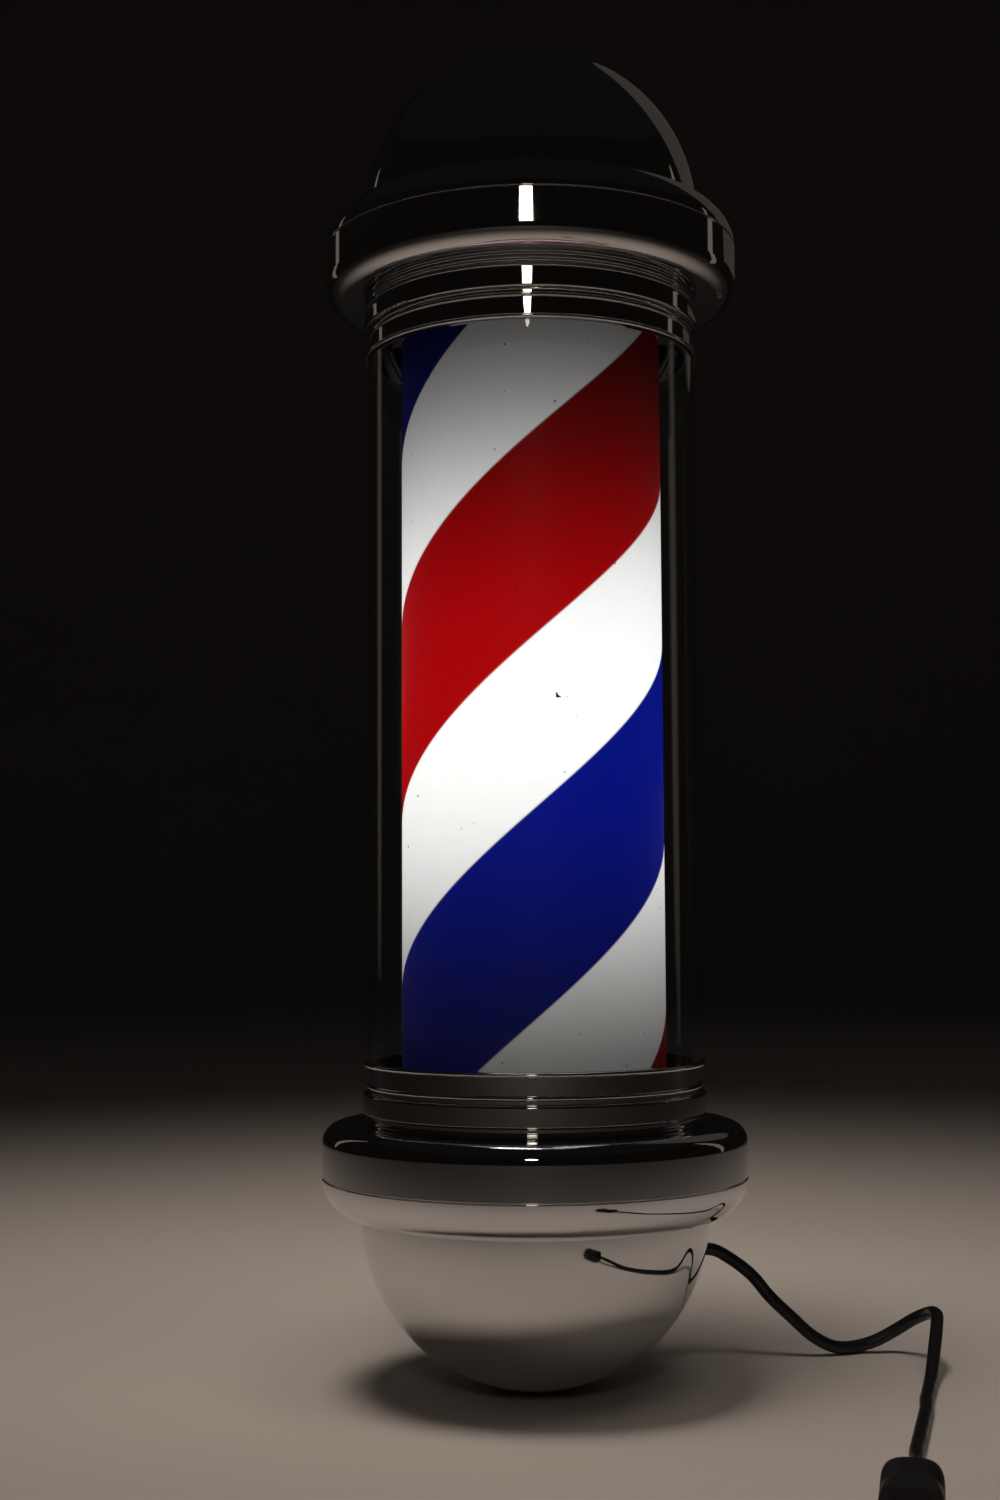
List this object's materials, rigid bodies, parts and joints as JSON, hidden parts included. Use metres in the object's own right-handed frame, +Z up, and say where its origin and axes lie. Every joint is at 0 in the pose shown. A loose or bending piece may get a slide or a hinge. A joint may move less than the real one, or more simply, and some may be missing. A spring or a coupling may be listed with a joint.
{
  "type": "barber pole light",
  "caption": "Wall-mounted barber pole light: a lit drum with helical stripes turns in a clear tube between two domed chrome caps, with a power cord and plug.",
  "frame": {"origin": "centre of the four wall-screw holes, on the wall plane", "axes": "+Z up along the pole, +Y into the wall, +X to the right as seen from the room"},
  "size_m": [0.3141, 0.3971, 0.672],
  "materials": {
    "chrome_shell": "polished chrome plating with fine hairline wear",
    "clear_acrylic": "clear polished acrylic tube",
    "stripe_print": "backlit printed film, white with one red and one blue helical stripe",
    "opal_plastic": "opal diffuser tube",
    "white_plastic": "moulded, satin",
    "gear_nylon": "moulded nylon",
    "bush_brass": "turned, satin",
    "black_rubber": "matte seal rubber",
    "zinc_plate": "zinc-plated sheet",
    "post_steel": "drawn tube, satin",
    "screw_steel": "zinc-plated screws",
    "spacer_aluminium": "turned and extruded, satin",
    "bracket_steel": "satin plated folded plate",
    "motor_can": "pressed can, satin",
    "led_phosphor": "lit diodes",
    "lead_blue": "insulated lead",
    "lead_red": "insulated lead",
    "cord_black": "smooth round sheath, satin",
    "moulded_black": "fine moulded texture",
    "plug_nickel": "nickel-plated blades"
  },
  "bodies": {
    "pole": {"lower_dome": "chrome_shell", "lower_ring": "chrome_shell", "lower_collar": "chrome_shell", "lower_tube_seal": "black_rubber", "lower_base_plate": "zinc_plate", "upper_dome": "chrome_shell", "upper_ring": "chrome_shell", "upper_collar": "chrome_shell", "upper_tube_seal": "black_rubber", "upper_base_plate": "zinc_plate", "outer_tube": "clear_acrylic", "center_post": "post_steel", "lower_post_flange": "post_steel", "upper_post_flange": "post_steel", "post_flange_screws": "screw_steel", "post_set_screws": "screw_steel", "plate_spacers": "spacer_aluminium", "frame_screws": "screw_steel", "frame_nuts": "screw_steel", "thrust_washer": "gear_nylon", "gear_motor": "motor_can", "motor_screws": "screw_steel", "led_carrier": "spacer_aluminium", "led_boards": "white_plastic", "led_chips": "led_phosphor", "led_driver": "white_plastic", "driver_screws": "screw_steel", "terminal_block": "white_plastic", "terminal_screws": "bush_brass", "supply_lead": "cord_black", "motor_lead": "lead_blue", "driver_lead": "lead_red", "lamp_lead": "lead_red", "lower_wall_bracket": "bracket_steel", "upper_wall_bracket": "bracket_steel", "bracket_bolts": "screw_steel", "bracket_nuts": "screw_steel", "cord_gland": "moulded_black", "gland_nut": "moulded_black", "strain_relief": "moulded_black", "power_cord": "cord_black", "plug_body": "moulded_black", "plug_blades": "plug_nickel", "plug_earth_pin": "plug_nickel"},
    "drum": {"drum_tube": "opal_plastic", "stripe_film": "stripe_print", "lower_drum_disc": "white_plastic", "upper_drum_disc": "white_plastic", "drum_gear": "gear_nylon", "lower_bush": "bush_brass", "upper_bush": "bush_brass"},
    "pinion": {"motor_pinion": "gear_nylon", "motor_shaft": "post_steel"}
  },
  "joints": [
    {"name": "drum_spin", "type": "hinge", "parent": "pole", "child": "drum", "pos_m": [0, -0.125, 0], "axis": [0, 0, 1], "continuous": true},
    {"name": "pinion_spin", "type": "hinge", "parent": "pole", "child": "pinion", "pos_m": [-0.05, -0.125, -0.207], "axis": [0, 0, 1], "continuous": true}
  ],
  "couplings": [
    {"joint": "pinion_spin", "follows": "drum_spin", "ratio": -4}
  ]
}
